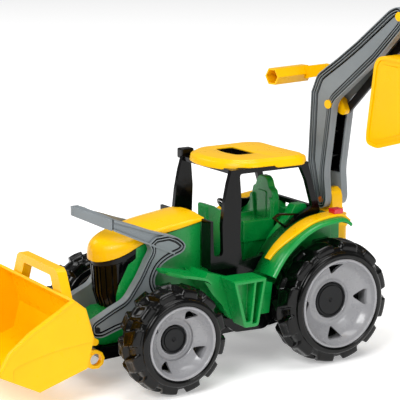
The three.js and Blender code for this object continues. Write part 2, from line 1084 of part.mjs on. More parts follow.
function backhoeBucket() {
  const inner = DIG_HALF - WALL;
  const shell = frontPlate(band(DIG_WALL, WALL), -inner, inner);
  const lip = [
    [134, 327, 8],
    [112, 332, 10],
    [113, 352],
    [126, 456, 10],
    [134, 465, 6],
  ];
  const cheek = [...DIG_WALL.slice(0, -1), ...lip];
  const cheeks = [
    frontPlate(cheek, inner - 0.5, DIG_HALF),
    frontPlate(cheek, -DIG_HALF, 0.5 - inner),
  ];
  const hollow = frontPlate(
    [[150, 460], [178, 457], [202, 444], [216, 412], [208, 376], [178, 346], [140, 336]],
    -inner,
    inner,
  );
  const lugs = [
    [-17.5, -11.5],
    [11.5, 17.5],
  ].map((span) => frontPlate(link([212, 424], DIG_PIVOT, 12, 10), ...span).subtract(hollow));
  return cut(join(shell, ...cheeks, ...lugs), rod(5.4, "y", -30, 30, ...DIG_PIVOT));
}

// ---------- assembly ----------
const machine = new THREE.Group();
const add = (name, body, material, parent = machine) => parent.add(mesh(name, body, material));

for (const side of [1, -1]) {
  for (const [name, wheel, turn] of [
    ["front", FRONT, -29],
    ["rear", REAR, 0],
  ]) {
    add(sideName(name + "_tyre", side), tyre(wheel, side), TYRE_BLACK);
    add(sideName(name + "_rim", side), rimDish(wheel, side, turn), RIM_GREY);
    add(sideName(name + "_hub_cap", side), hubCap(wheel, side), CHARCOAL);
  }
  add(sideName("front_mudguard", side), frontMudguard(side), GREEN);
  add(sideName("mudguard", side), mudguard(side), GREEN);
  add(sideName("step", side), stepBox(side), GREEN);
  add(sideName("fender_trim", side), fenderTrim(side), YELLOW);
  add(sideName("tail_light", side), tailLight(side), RED);
  add(sideName("loader_arm", side), loaderArm(side), GREY);
  add(sideName("bucket_pin", side), bucketPin(side), CHARCOAL);
}
add("front_axle", axle(FRONT), STEEL);
add("rear_axle", axle(REAR), STEEL);
add("chassis", chassis(), BLACK);
add("body_shell", bodyShell(), GREEN);
add("grille", grille(), BLACK);
add("lamp_band", lampBand(), CHARCOAL);
add("hood", hood(), YELLOW);
add("cab_frame", cabFrame(), BLACK);
add("roof", roof(), YELLOW);
add("side_mirror", sideMirror(), BLACK);
add("seat", seat(), GREEN);
add("steering_column", steeringColumn(), BLACK);
add("steering_wheel", steeringWheel(), BLACK);
add("loader_handle", loaderHandle(), GREY);
add("loader_pivot_bar", loaderPivotBar(), CHARCOAL);
add("front_bucket", frontBucket(), YELLOW);
add("rear_bracket", rearBracket(), YELLOW);

const backhoe = new THREE.Group();
backhoe.position.set(0, SWING_Y, 0);
backhoe.rotation.z = SWING_ANGLE;
machine.add(backhoe);
add("swing_pin", swingPin(), CHARCOAL, backhoe);
add("swing_post", swingPost(), YELLOW, backhoe);
add("boom_pin", pinY(5, BEAM_OUT - 1, BOOM_PIVOT), ORANGE, backhoe);
add("boom_beam_left", boomBeam(-1), GREY, backhoe);
add("boom_beam_right", boomBeam(1), GREY, backhoe);
add("boom_spine_lower", boomSpine(true), CHARCOAL, backhoe);
add("boom_spine_upper", boomSpine(false), CHARCOAL, backhoe);
add("elbow_pin", pinY(7, BEAM_OUT + 1, ELBOW), YELLOW, backhoe);
add("tip_pin", pinY(7, BEAM_OUT + 1, TIP), YELLOW, backhoe);
add("backhoe_lever", lever(), YELLOW, backhoe);
add("push_rod", pushRod(), CHARCOAL, backhoe);
add("dipper", dipper(), YELLOW, backhoe);
add("backhoe_bucket_pin", pinY(5, 17.5, DIG_PIVOT), CHARCOAL, backhoe);
add("backhoe_bucket", backhoeBucket(), YELLOW, backhoe);

// Put the origin under the middle of the machine, on the ground.
machine.updateMatrixWorld(true);
const bounds = new THREE.Box3().setFromObject(machine, true);
const centre = bounds.getCenter(new THREE.Vector3());
machine.position.set(-centre.x, -centre.y, -bounds.min.z);

const part = new THREE.Group();
part.add(machine);
export default part;
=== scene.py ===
"""Toy backhoe loader in moulded plastic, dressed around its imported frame.

Shapes are written in millimetres in the machine's own layout: the front faces -Y, the left side
is +X, the rear axle stands at Y = 0 and the ground at Z = 0. place() turns them into the row frame.
"""
import json
import math

import bmesh
import bpy
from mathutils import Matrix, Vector


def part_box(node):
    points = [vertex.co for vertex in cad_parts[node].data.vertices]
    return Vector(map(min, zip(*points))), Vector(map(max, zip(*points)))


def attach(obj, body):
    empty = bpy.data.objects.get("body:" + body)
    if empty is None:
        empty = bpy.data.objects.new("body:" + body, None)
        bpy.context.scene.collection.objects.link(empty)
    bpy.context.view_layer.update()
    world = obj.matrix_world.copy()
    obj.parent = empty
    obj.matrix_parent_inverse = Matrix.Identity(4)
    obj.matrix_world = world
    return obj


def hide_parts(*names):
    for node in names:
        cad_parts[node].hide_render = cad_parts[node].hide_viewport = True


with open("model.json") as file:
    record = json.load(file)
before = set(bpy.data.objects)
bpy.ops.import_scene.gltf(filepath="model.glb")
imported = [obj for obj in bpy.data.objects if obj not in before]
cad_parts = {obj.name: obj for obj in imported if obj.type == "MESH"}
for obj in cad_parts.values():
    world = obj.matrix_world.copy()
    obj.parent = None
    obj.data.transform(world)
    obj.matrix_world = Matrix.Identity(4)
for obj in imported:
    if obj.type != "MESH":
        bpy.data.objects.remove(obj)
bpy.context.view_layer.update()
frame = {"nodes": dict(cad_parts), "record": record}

MM = 0.001


def middle(node):
    low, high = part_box(node)
    return (low + high) / 2


# ---------- driving dimensions, from the frame ----------
REAR_RADIUS = (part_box("rear_tyre_left")[1].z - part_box("rear_tyre_left")[0].z) / 2 / MM
FRONT_RADIUS = (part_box("front_tyre_left")[1].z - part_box("front_tyre_left")[0].z) / 2 / MM
BASE = middle("rear_axle") - Vector((0, 0, REAR_RADIUS * MM))
FRONT_AXLE_Y = (middle("front_axle").y - BASE.y) / MM
SWING_Y = 82
SWING_ANGLE = math.radians(12)
TYRE_WIDTH = 58
DISH_DEPTH = 30
# y: axle; r: tyre radius; rim, cap: radii; face: x of the rim's outer edge; holes: turn of the openings
REAR = {"y": 0, "r": REAR_RADIUS, "rim": 69, "cap": 27, "face": 142.4, "holes": 0}
FRONT = {"y": FRONT_AXLE_Y, "r": FRONT_RADIUS, "rim": 54.6, "cap": 20.6, "face": 150.9, "holes": -29}
SIDES = ((1, "left"), (-1, "right"))


def place(x, y, z):
    """A point of the machine's layout, in millimetres, as a point of the row frame."""
    return BASE + Vector((x, y, z)) * MM


def place_arm(u, n, z):
    """A point of the digging arm: u out along the arm, n to its left, z up."""
    c, s = math.cos(SWING_ANGLE), math.sin(SWING_ANGLE)
    return place(u * c - n * s, SWING_Y + u * s + n * c, z)


# ---------- materials ----------
def make_node(tree, kind, **inputs):
    made = tree.nodes.new("ShaderNode" + kind)
    for name, value in inputs.items():
        made.inputs[name.replace("_", " ")].default_value = value
    return made


def linear(hexcode):
    values = [int(hexcode[i : i + 2], 16) / 255 for i in (0, 2, 4)]
    return [v / 12.92 if v <= 0.04045 else ((v + 0.055) / 1.055) ** 2.4 for v in values]


def moulded(name, hexcode, rough, tone=0.06, peel=0.25, scuff=0.1, coat=0.0, metal=0.0, gloss=0.5):
    """Injection-moulded plastic: faint tone drift, orange-peel skin and patches of finer scuffing."""
    material = bpy.data.materials.new(name)
    material.use_nodes = True
    tree = material.node_tree
    shader = tree.nodes["Principled BSDF"]
    shader.inputs["Metallic"].default_value = metal
    shader.inputs["Coat Weight"].default_value = coat
    shader.inputs["Coat Roughness"].default_value = 0.06
    shader.inputs["IOR"].default_value = 1.5
    shader.inputs["Specular IOR Level"].default_value = gloss
    coords = make_node(tree, "TexCoord")
    cloud = make_node(tree, "TexNoise", Scale=14.0, Detail=4.0, Roughness=0.6)
    ramp = make_node(tree, "ValToRGB")
    base = linear(hexcode)
    ramp.color_ramp.elements[0].position = 0.3
    ramp.color_ramp.elements[1].position = 0.7
    ramp.color_ramp.elements[0].color = [v * (1 - tone) for v in base] + [1]
    ramp.color_ramp.elements[1].color = [min(1, v * (1 + tone)) for v in base] + [1]
    patches = make_node(tree, "TexNoise", Scale=42.0, Detail=6.0, Roughness=0.7)
    spread = make_node(tree, "MapRange", From_Min=0.35, From_Max=0.75, To_Min=rough, To_Max=rough + scuff)
    skin = make_node(tree, "TexNoise", Scale=900.0, Detail=2.0)
    wave = make_node(tree, "TexNoise", Scale=60.0, Detail=1.0)
    lift = make_node(tree, "Bump", Strength=peel, Distance=0.0003)
    sink = make_node(tree, "Bump", Strength=peel, Distance=0.0016)
    for texture in (cloud, patches, skin, wave):
        tree.links.new(coords.outputs["Object"], texture.inputs["Vector"])
    tree.links.new(cloud.outputs["Fac"], ramp.inputs["Fac"])
    tree.links.new(ramp.outputs["Color"], shader.inputs["Base Color"])
    tree.links.new(patches.outputs["Fac"], spread.inputs["Value"])
    tree.links.new(spread.outputs["Result"], shader.inputs["Roughness"])
    tree.links.new(skin.outputs["Fac"], lift.inputs["Height"])
    tree.links.new(wave.outputs["Fac"], sink.inputs["Height"])
    tree.links.new(lift.outputs["Normal"], sink.inputs["Normal"])
    tree.links.new(sink.outputs["Normal"], shader.inputs["Normal"])
    return material


PAINT = {
    "yellow_plastic": moulded("yellow", "FFC200", 0.26, tone=0.04, coat=0.04, gloss=0.2),
    "green_plastic": moulded("green", "008F3C", 0.25, tone=0.08, coat=0.1, gloss=0.4),
    "grey_plastic": moulded("grey", "7C8387", 0.3, tone=0.07, coat=0.15, gloss=0.4),
    "rim_grey": moulded("rim", "939396", 0.24, tone=0.04, coat=0.4),
    "black_plastic": moulded("black", "050506", 0.13, tone=0.25, scuff=0.05, coat=0.12, gloss=0.16),
    "tyre_black": moulded("tyre", "040404", 0.13, tone=0.3, peel=0.4, scuff=0.05, coat=0.16, gloss=0.2),
    "charcoal": moulded("charcoal", "141517", 0.34, tone=0.15, gloss=0.25),
    "red_plastic": moulded("red", "D0142A", 0.2, tone=0.05, coat=0.5),
    "orange_plastic": moulded("orange", "F07A1C", 0.3, tone=0.05, coat=0.2),
    "axle_steel": moulded("steel", "A9ABAF", 0.26, tone=0.05, metal=1.0),
}


# ---------- mesh tools ----------
SINK = 0.5  # how far a raised part starts below the surface that it stands on


def piece(name, bm, body, slot, replaces=(), bevel=0.0, smooth_angle=35):
    """Finishes a bmesh as one named piece that rides on a body and stands for CAD nodes."""
    bmesh.ops.remove_doubles(bm, verts=bm.verts, dist=2e-5)
    bmesh.ops.recalc_face_normals(bm, faces=bm.faces)
    for edge in bm.edges:
        sharp = len(edge.link_faces) == 2 and edge.calc_face_angle() > math.radians(smooth_angle)
        edge.smooth = not sharp
    mesh = bpy.data.meshes.new(name)
    bm.to_mesh(mesh)
    bm.free()
    mesh.polygons.foreach_set("use_smooth", [True] * len(mesh.polygons))
    obj = bpy.data.objects.new(name, mesh)
    bpy.context.scene.collection.objects.link(obj)
    mesh.materials.append(PAINT[slot])
    if bevel:
        soften(obj, bevel, weld=False)
    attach(obj, body)
    if replaces:
        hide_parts(*replaces)
    return obj


def soften(obj, width, weld=True, angle=30):
    """Rounds an object's sharp edges by a moulding radius, in millimetres."""
    if weld:
        obj.modifiers.new("weld", "WELD").merge_threshold = 2e-5
        planar = obj.modifiers.new("planar", "DECIMATE")
        planar.decimate_type = "DISSOLVE"
        planar.angle_limit = math.radians(1.5)
    bevel = obj.modifiers.new("edges", "BEVEL")
    bevel.width = width * MM
    bevel.segments = 3
    bevel.limit_method = "ANGLE"
    bevel.angle_limit = math.radians(angle)
    normals = obj.modifiers.new("normals", "WEIGHTED_NORMAL")
    normals.keep_sharp = False
    normals.weight = 70


def apply_modifiers(obj):
    ready = obj.evaluated_get(bpy.context.evaluated_depsgraph_get())
    mesh = bpy.data.meshes.new_from_object(ready)
    obj.modifiers.clear()
    obj.data = mesh


def loft(loops, caps=True):
    """Skins a row of closed loops of equal length; caps shut the two ends."""
    bm = bmesh.new()
    rows = [[bm.verts.new(point) for point in loop] for loop in loops]
    count = len(rows[0])
    for near, far in zip(rows, rows[1:]):
        for i in range(count):
            j = (i + 1) % count
            bm.faces.new((near[i], near[j], far[j], far[i]))
    if caps:
        bm.faces.new(rows[0][::-1])
        bm.faces.new(rows[-1])
    return bm


def curve(points, steps):
    """A smooth open line through the points, by Catmull-Rom."""
    line = [Vector(p) for p in points]
    ends = [2 * line[0] - line[1], *line, 2 * line[-1] - line[-2]]
    out = []
    for k in range(len(line) - 1):
        a, b, c, d = ends[k : k + 4]
        for i in range(steps):
            t = i / steps
            out.append(0.5 * (2 * b + (c - a) * t + (2 * a - 5 * b + 4 * c - d) * t * t
                              + (3 * b - a - 3 * c + d) * t ** 3))
    return [*out, line[-1]]


def rounded(points, steps=6):
    """Rounds the corners of a closed outline; a point is (a, b) or (a, b, reach of the corner)."""
    out = []
    for i, point in enumerate(points):
        at = Vector(point[:2])
        if len(point) < 3:
            out.append(at)
            continue
        back = Vector(points[i - 1][:2]) - at
        ahead = Vector(points[(i + 1) % len(points)][:2]) - at
        start = at + back.normalized() * min(point[2], 0.48 * back.length)
        end = at + ahead.normalized() * min(point[2], 0.48 * ahead.length)
        for k in range(steps + 1):
            t = k / steps
            out.append(start * (1 - t) ** 2 + at * 2 * t * (1 - t) + end * t * t)
    return out


def offset_line(line, distance):
    """The line parallel to an open 2-D line, on its right at the given distance."""
    out = []
    for i, at in enumerate(line):
        along = (line[min(i + 1, len(line) - 1)] - line[max(i - 1, 0)]).normalized()
        out.append(at + Vector((along.y, -along.x)) * distance)
    return out


def prism(outline, low, high, put):
    """A plate between two levels; put(a, b, level) gives each corner."""
    return loft([[put(a, b, level) for a, b in outline] for level in (low, high)])


def side(x_sign):
    """Puts an outline seen from the side on the left (1) or the right (-1) of the machine."""
    return lambda y, z, x: place(x * x_sign, y, z)


def arm_side(u, z, n):
    """Puts an outline seen from the digging arm's side."""
    return place_arm(u, n, z)


def facing(x, z, y):
    """Puts an outline seen from the front."""
    return place(x, y, z)


def resample(outline, spacing=2.0):
    """Adds points along the straight stretches of a closed outline."""
    out = []
    for a, b in zip(outline, [*outline[1:], outline[0]]):
        steps = max(1, round((b - a).length / spacing))
        out += [a + (b - a) * k / steps for k in range(steps)]
    return out


def distance_to(outline, point):
    best = 1e9
    for a, b in zip(outline, [*outline[1:], outline[0]]):
        edge = b - a
        t = min(1, max(0, (point - a).dot(edge) / max(edge.length_squared, 1e-12)))
        best = min(best, (a + edge * t - point).length)
    return best


def inset(outline, distance):
    """A closed outline moved inwards, without the loops that its tight corners would make."""
    pairs = zip(outline, [*outline[1:], outline[0]])
    turn = 1 if sum(a.x * b.y - b.x * a.y for a, b in pairs) > 0 else -1
    out = []
    for i, at in enumerate(outline):
        along = (outline[(i + 1) % len(outline)] - outline[i - 1]).normalized()
        moved = at + Vector((-along.y, along.x)) * turn * distance
        if distance_to(outline, moved) > distance - 0.12:
            out.append(moved)
    return out


def plate(outline, low, high, put, holes=()):
    """A flat plate with holes, between two levels."""
    data = bpy.data.curves.new("plate", "CURVE")
    data.dimensions = "2D"
    data.fill_mode = "BOTH"
    data.extrude = abs(high - low) / 2
    for line in (outline, *holes):
        spline = data.splines.new("POLY")
        spline.points.add(len(line) - 1)
        for point, at in zip(spline.points, line):
            point.co = (at[0], at[1], 0, 1)
        spline.use_cyclic_u = True
    obj = bpy.data.objects.new("plate", data)
    bpy.context.scene.collection.objects.link(obj)
    mesh = bpy.data.meshes.new_from_object(obj.evaluated_get(bpy.context.evaluated_depsgraph_get()))
    bpy.data.objects.remove(obj)
    for vertex in mesh.vertices:
        a, b, level = vertex.co
        vertex.co = put(a, b, (low + high) / 2 + level)
    bm = bmesh.new()
    bm.from_mesh(mesh)
    bmesh.ops.remove_doubles(bm, verts=bm.verts, dist=1e-6)
    bmesh.ops.dissolve_limit(bm, angle_limit=math.radians(1), verts=bm.verts, edges=bm.edges)
    bpy.data.meshes.remove(mesh)
    return bm


def band(line, start, end, low, high, put):
    """A plate between two distances in from a closed outline; with an end of 0 it is filled."""
    edge = inset(line, start) if start else line
    return plate(edge, low, high, put, [inset(line, end)] if end else [])


def ribbed(line, inner, outer, put, ribs, floor, holes):
    """A plate from inner to floor, with ribs along its outline that rise from the floor.

    A rib is (start, end, drop): two distances in from the edge, and how far it stays below outer.
    """
    sign = math.copysign(1, outer - inner)
    parts = [plate(line, inner, floor, put, holes)]
    for start, end, drop in ribs:
        parts.append(band(line, start, end, floor - sign * SINK, outer - sign * drop, put))
    return merge(*parts)


def round_hole(centre, radius, steps=24):
    turns = [2 * math.pi * k / steps for k in range(steps)]
    return [Vector(centre) + Vector((math.cos(t), math.sin(t))) * radius for t in turns]


def merge(*parts):
    """Puts several bmeshes into the first one."""
    whole = parts[0]
    for part in parts[1:]:
        mesh = bpy.data.meshes.new("part")
        part.to_mesh(mesh)
        part.free()
        whole.from_mesh(mesh)
        bpy.data.meshes.remove(mesh)
    return whole


def turned(profile, wheel, x_sign, sides=96, bump=None):
    """Turns a closed profile of (x, radius) about a wheel's axle; bump(i, angle) moves a point."""
    loops = []
    for s in range(sides):
        angle = 2 * math.pi * s / sides
        loop = []
        for i, (x, r) in enumerate(profile):
            dx, dr = bump(i, angle) if bump else (0, 0)
            radius = r + dr
            loop.append(place(x_sign * (x + dx), wheel["y"] + radius * math.sin(angle),
                              wheel["r"] + radius * math.cos(angle)))
        loops.append(loop)
    return loft([*loops, loops[0]], caps=False)


# ---------- wheels ----------
LUGS, LUG_HEIGHT = 12, 7
TYRE_SIDES, CAP_SIDES = 240, 64
BORE = 12.5


def shoulders(wheel):
    """The x of a tyre's inner and outer shoulder."""
    return wheel["face"] - TYRE_WIDTH - 2, wheel["face"] - 8


def tyre_profile(wheel):
    """Cross-section from the inner bead over the tread to the outer bead, as (x, radius)."""
    inner, tread = shoulders(wheel)
    bore, r = wheel["rim"] + 0.8, wheel["r"] - LUG_HEIGHT
    points = [
        (inner, bore), (inner - 0.3, bore + 8), (inner + 1.5, r - 9), (inner + 8, r - 1.5),
        (inner + 18, r), ((inner + tread) / 2, r + 0.6), (tread - 14, r), (tread - 4, r - 2.5),
        (tread + 0.5, r - 9), (tread + 4.5, bore + 9), (tread + 7, bore + 6.5), (tread + 7.6, bore + 2.5),
        (tread + 6.5, bore),
    ]
    return [(p.x, p.y) for p in curve(points, 5)]


def smoothstep(low, high, value):
    t = min(1, max(0, (value - low) / (high - low)))
    return t * t * (3 - 2 * t)


def tyre(prefix, wheel, x_sign, suffix):
    """Blow-moulded tyre: two rows of slanting lugs, staggered, with a dished top on each."""
    profile = tyre_profile(wheel)
    inner, outer = shoulders(wheel)
    centre, half = (inner + outer) / 2, (outer - inner) / 2
    low, high = wheel["rim"] + 10, wheel["r"] - LUG_HEIGHT - 4

    def lift(i, angle):
        x, r = profile[i]
        across = (x - centre) / half
        height = smoothstep(low, high, r)
        if height == 0:
            return 0, 0
        total = 0
        for row in (-1, 1):
            reach = row * across
            phase = (angle * LUGS / (2 * math.pi) + row * 0.25 - 0.22 * reach) % 1
            from_middle = abs(phase - 0.5) * 2
            wide = 0.62 + 0.1 * reach
            block = 1 - smoothstep(wide - 0.13, wide + 0.02, from_middle)
            block *= smoothstep(-0.12, 0.02, reach)
            dish = 0.3 * (1 - smoothstep(0.2, 0.42, from_middle)) * smoothstep(0.16, 0.3, reach)
            dish *= 1 - smoothstep(0.62, 0.78, reach)
            total = max(total, block * (1 - dish))
        side_push = 2.2 * smoothstep(0.75, 1.0, abs(across)) * math.copysign(1, across)
        return side_push * total * height, LUG_HEIGHT * total * height * smoothstep(-0.2, 0.9, height)

    bm = turned(profile, wheel, x_sign, sides=TYRE_SIDES, bump=lift)
    name = f"{prefix}_tyre_{suffix}"
    piece(name + "_skin", bm, f"{prefix}_wheel_{suffix}", "tyre_black", [name], smooth_angle=60)


def rim_profile(wheel):
    """Cross-section of the rim: bead, dish, hub seat and the wall behind them, as (x, radius)."""
    rim, cap, face = wheel["rim"], wheel["cap"], wheel["face"]
    floor, back = face - DISH_DEPTH, face - TYRE_WIDTH
    front = [
        (face - 1.2, rim - 0.4), (face, rim - 2.2), (face - 1.3, rim - 4.2), (face - 4, rim - 5.2),
        (face - 9, rim - 7.5), (floor + 12, rim - 14), (floor + 5.5, rim - 24), (floor + 2.4, cap + 12),
        (floor + 1.6, cap + 6),
    ]
    hub = [
        (floor + 2.6, cap + 4.2), (floor + 2.8, cap + 2), (floor + 1.5, cap + 0.8),
        (floor - 2.5, cap + 0.6), (floor - 2.5, 4.4), (back, 4.4), (back, 12), (floor - 6, 12),
    ]
    behind = [
        (floor - 6, cap + 6), (floor + 4, rim - 17), (face - 14, rim - 6), (back + 2, rim - 4),
        (back + 2, rim - 0.2), (face - 5, rim - 0.2),
    ]
    return [(p.x, p.y) for p in curve(front, 4)] + hub + behind


def rim_cutter(wheel, x_sign, turn):
    """The rounded wedge that cuts one opening through a rim's dish."""
    near, far, half = (share * wheel["rim"] for share in (0.58, 0.84, 0.21))
    wedge = rounded([(near, 0, 4), (far, half, 5), (far, -half, 5)])

    def put(a, b, x):
        y = a * math.cos(turn) - b * math.sin(turn)
        z = a * math.sin(turn) + b * math.cos(turn)
        return place(x_sign * x, wheel["y"] + y, wheel["r"] + z)

    bm = prism(wedge, wheel["face"] - TYRE_WIDTH + 6, wheel["face"] + 2, put)
    bmesh.ops.recalc_face_normals(bm, faces=bm.faces)
    mesh = bpy.data.meshes.new("cutter")
    bm.to_mesh(mesh)
    bm.free()
    cutter = bpy.data.objects.new("cutter", mesh)
    bpy.context.scene.collection.objects.link(cutter)
    return cutter


def rim_dish(prefix, wheel, x_sign, suffix):
    """Dished rim with four openings, in front of the black back of the wheel."""
    name = f"{prefix}_rim_{suffix}"
    body = f"{prefix}_wheel_{suffix}"
    obj = piece(name + "_dish", turned(rim_profile(wheel), wheel, x_sign), body, "rim_grey", [name])
    cutters = [rim_cutter(wheel, x_sign, math.radians(wheel["holes"] + 90 * k)) for k in range(4)]
    for cutter in cutters:
        opening = obj.modifiers.new("opening", "BOOLEAN")
        opening.operation = "DIFFERENCE"
        opening.solver = "EXACT"
        opening.object = cutter
    apply_modifiers(obj)
    for cutter in cutters:
        bpy.data.objects.remove(cutter)
    soften(obj, 0.7, weld=False, angle=50)
    low = wheel["face"] - DISH_DEPTH - 11
    high, reach = low + 1.5, wheel["rim"] - 6.5
    disc = turned([(low, BORE), (low, reach), (high, reach), (high, BORE)], wheel, x_sign)
    piece(f"{prefix}_wheel_back_{suffix}", disc, body, "tyre_black")


def hub_cap(prefix, wheel, x_sign, suffix):
    """Flat cap with a raised ring along its edge and a dimple in the middle."""
    cap, floor = wheel["cap"], wheel["face"] - DISH_DEPTH
    profile = [
        (floor - 2.2, 0.01), (floor - 2.2, cap), (floor + 1.6, cap), (floor + 2.8, cap - 0.8),
        (floor + 3, cap - 2.4), (floor + 1.2, cap - 3.2), (floor + 1.2, cap - 4.4), (floor + 2.6, cap - 5.2),
        (floor + 2.3, 3.4), (floor + 0.8, 2.4), (floor + 0.4, 0.01),
    ]
    name = f"{prefix}_hub_cap_{suffix}"
    bm = turned(profile, wheel, x_sign, sides=CAP_SIDES)
    piece(name + "_disc", bm, f"{prefix}_wheel_{suffix}", "charcoal", [name], smooth_angle=50)


def wheels():
    for x_sign, suffix in SIDES:
        for prefix, wheel in (("front", FRONT), ("rear", REAR)):
            tyre(prefix, wheel, x_sign, suffix)
            rim_dish(prefix, wheel, x_sign, suffix)
            hub_cap(prefix, wheel, x_sign, suffix)


# ---------- bonnet ----------
HOOD_STATIONS = [
    (-351.4, 6, 178.2, 194), (-348, 17, 179, 204), (-340, 28, 181.5, 211.5), (-328, 37, 186, 217),
    (-314, 43.4, 192.5, 220.4), (-296, 46, 201.6, 224.4), (-262, 46.3, 214, 230.5),
    (-226, 46.5, 220, 235), (-204, 46.8, 224.2, 236.6), (-184.5, 47, 227.8, 236.4),
]
HOOD_SECTION = [
    (1, 0), (1.0, 0.22), (0.985, 0.4), (0.93, 0.56), (0.82, 0.72), (0.66, 0.84), (0.42, 0.94), (0.2, 0.985),
]


def hood():
    """Bonnet with a soft shoulder along each side and a raised panel down the middle."""
    loops = []
    for y, half, low, top in curve(HOOD_STATIONS, 4):
        rise = top - low
        panel = smoothstep(-352, -330, y) * 1.3
        right = [(w * half, low + h * rise - (panel if w > 0.6 and h > 0.6 else 0)) for w, h in HOOD_SECTION]
        across = [*right, (0, top), *[(-x, z) for x, z in reversed(right)]]
        loops.append([place(x, y, z) for x, z in across])
    piece("hood_cover", loft(loops), "chassis", "yellow_plastic", ["hood"], bevel=1.2)


# ---------- roof ----------
ROOF_PLAN = [
    (-77, -120, 14), (-54, -153, 24), (0, -167, 40), (54, -153, 24), (77, -120, 14),
    (78, -28, 8), (62, -9, 8), (-62, -9, 8), (-78, -28, 8),
]
ROOF_CENTRE = Vector((0, -90))
HATCH_PLAN = [(-32, -85, 3), (-32, -116, 8), (0, -122, 30), (32, -116, 8), (32, -85, 3)]
SKIRT_LOW, NOTCH_DEPTH = 301, 3.5
ROOF_STEPS = 144


def roof_reach(outline, aim):
    """How far the outline lies from the roof's centre in a direction."""
    best = 0
    for a, b in zip(outline, [*outline[1:], outline[0]]):
        a, b = a - ROOF_CENTRE, b - ROOF_CENTRE
        edge = b - a
        turn = aim.x * edge.y - aim.y * edge.x
        if abs(turn) < 1e-9:
            continue
        t = (a.x * edge.y - a.y * edge.x) / turn
        s = (a.x * aim.y - a.y * aim.x) / turn
        if t > 0 and -1e-6 <= s <= 1 + 1e-6:
            best = max(best, t)
    return best


def roof():
    """Crowned roof with a drooping skirt, notched along both sides, round a hatch."""
    plan = rounded(ROOF_PLAN)
    hatch = rounded(HATCH_PLAN)
    columns = []
    for i in range(ROOF_STEPS):
        angle = 2 * math.pi * i / ROOF_STEPS
        aim = Vector((math.sin(angle), math.cos(angle)))
        far, near = roof_reach(plan, aim), roof_reach(hatch, aim)
        edge = ROOF_CENTRE + aim * far
        notch = smoothstep(60, 66, abs(edge.x)) * smoothstep(-150, -143, edge.y)
        notch *= 1 - smoothstep(-80, -74, edge.y)
        low = SKIRT_LOW + NOTCH_DEPTH * notch
        skirt = [(far - 3.5, low + 0.6), (far - 1.2, low), (far, low + 1)]
        crown = [(far - 1.4, 310.5), (far - 3.2, 312.4), (far - 8, 314), (far - 9.4, 315.4)]
        rim = [(near + 2.5, 317.9), (near + 0.4, 317.4), (near, 309)]
        columns.append([place(*(ROOF_CENTRE + aim * reach), z) for reach, z in skirt + crown + rim])
    levels = list(zip(*columns))
    cover = loft([*levels, levels[0]], caps=False)
    piece("roof_cover", cover, "chassis", "yellow_plastic", ["roof"], smooth_angle=40)
    liner = band(resample(hatch), -0.2, 1.8, 303, 316.2, place)
    piece("hatch_liner", liner, "chassis", "black_plastic", bevel=0.4)


# ---------- rear mudguards ----------
FENDER_LINE = [
    (-118, 138), (-100, 166), (-82, 186), (-56, 205), (-28, 217), (6, 222), (24, 220.5), (36, 212),
]
GUARD_IN, GUARD_WALL = 58.2, 4.6
GUARD_SECTION = [
    (GUARD_IN, 0), (114, 0), (119, 0.8), (121.6, 3), (122, 6.5), (119.6, 6.8), (118.6, GUARD_WALL),
    (114, GUARD_WALL), (GUARD_IN, GUARD_WALL),
]
DECK_Z = 139.5
HUMP_IN = 40.2
HUMP_LINE = [
    (-92, DECK_Z), (-66, 190, 10), (-36, 222, 5), (-28, 236, 4), (-8, 236, 3), (-3.7, 222), (20, 206.5, 5),
    (29, 206.5), (29, DECK_Z),
]


def line_2d(points, steps=6):
    """A smooth open line through 2-D points."""
    return [Vector((p[0], p[1])) for p in curve([(*p, 0) for p in points], steps)]


def swept(line, section, x_sign):
    """A band along a line in (y, z); section gives corners as (x, depth below the line)."""
    depths = {depth: offset_line(line, depth) for _, depth in section}
    loops = []
    for i in range(len(line)):
        loops.append([place(x_sign * x, *depths[depth][i]) for x, depth in section])
    return loft(loops)


def mudguard(x_sign, suffix):
    """Arched guard with a rolled lip, its inner wall, and the hump beside the seat."""
    line = line_2d(FENDER_LINE)[2:]  # starts a little above the deck
    guard = swept(line, GUARD_SECTION, x_sign)
    foot = [Vector((38, DECK_Z)), Vector((-106, DECK_Z))]
    inner = prism([*line, *foot], GUARD_IN, GUARD_IN + GUARD_WALL, side(x_sign))
    hump = prism(rounded(HUMP_LINE), HUMP_IN, GUARD_IN - 0.4, side(x_sign))
    whole = merge(guard, inner, hump)
    name = f"mudguard_{suffix}"
    piece(name + "_shell", whole, "chassis", "green_plastic", [name], bevel=0.8)


WING_LINE = [(-278, 172), (-260, 169), (-238, 164), (-222, 159), (-214.6, 152.5)]
WING_IN, WING_OUT, WING_WALL = 64.4, 114, 3.2
WING_STEPS = 10


def front_mudguard(x_sign, suffix):
    """Short guard beside the bonnet, dished towards the engine, with a rolled outer lip."""
    loops = []
    for y, z in line_2d(WING_LINE):
        start = WING_IN - 18 * smoothstep(-226, -219, y)
        end = WING_OUT - 20 * (1 - smoothstep(-280, -256, y)) ** 2
        xs = [start + (end - start) * k / WING_STEPS for k in range(WING_STEPS + 1)]
        top = [(x, z + 5 * (1 - smoothstep(46, 74, x)) - 1.5 + 1.5 * smoothstep(80, end, x)) for x in xs]
        lip = [(end + 1.6, z - 0.6), (end + 1.4, z - 4.6), (end - 0.6, z - 4.8)]
        under = [(x, h - WING_WALL) for x, h in top[::-1][1:]]
        loops.append([place(x_sign * x, y, h) for x, h in [*top, *lip, *under]])
    name = f"front_mudguard_{suffix}"
    piece(name + "_shell", loft(loops), "chassis", "green_plastic", [name], smooth_angle=50)


TRIM_IN, TRIM_POINT, TRIM_GROWTH = 84.2, 97, 14.6


